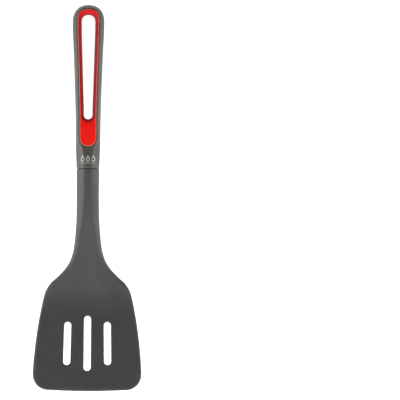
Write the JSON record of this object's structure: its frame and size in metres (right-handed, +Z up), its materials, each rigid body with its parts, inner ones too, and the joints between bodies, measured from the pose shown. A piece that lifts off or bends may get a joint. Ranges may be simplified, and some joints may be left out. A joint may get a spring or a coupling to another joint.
{
  "type": "slotted turner",
  "caption": "Slotted grilling turner: flat nylon blade and slim neck, hard grey grip with a long hanging hole lined in soft red rubber.",
  "frame": {"origin": "centre of the bounding box's base: the turner rests right side up on its heel and on the end of its grip, at z = 0", "axes": "+Y runs along the turner towards the grip's hanging end, -Y is the blade's front edge, +X runs across the blade, +Z is up, out of the working top face"},
  "size_m": [0.0956, 0.3396, 0.0284],
  "materials": {
    "head_nylon": "dark grey glass-filled nylon with a fine matte grain",
    "grip_grey": "satin warm grey polypropylene with a fine grain",
    "liner_red": "soft satin red thermoplastic rubber",
    "mark_ink": "pale grey pad-printing ink on the grip, used by the visual model only"
  },
  "bodies": {
    "root": {"turner_head": "head_nylon", "handle_body": "grip_grey", "grip_liner": "liner_red"}
  },
  "joints": []
}
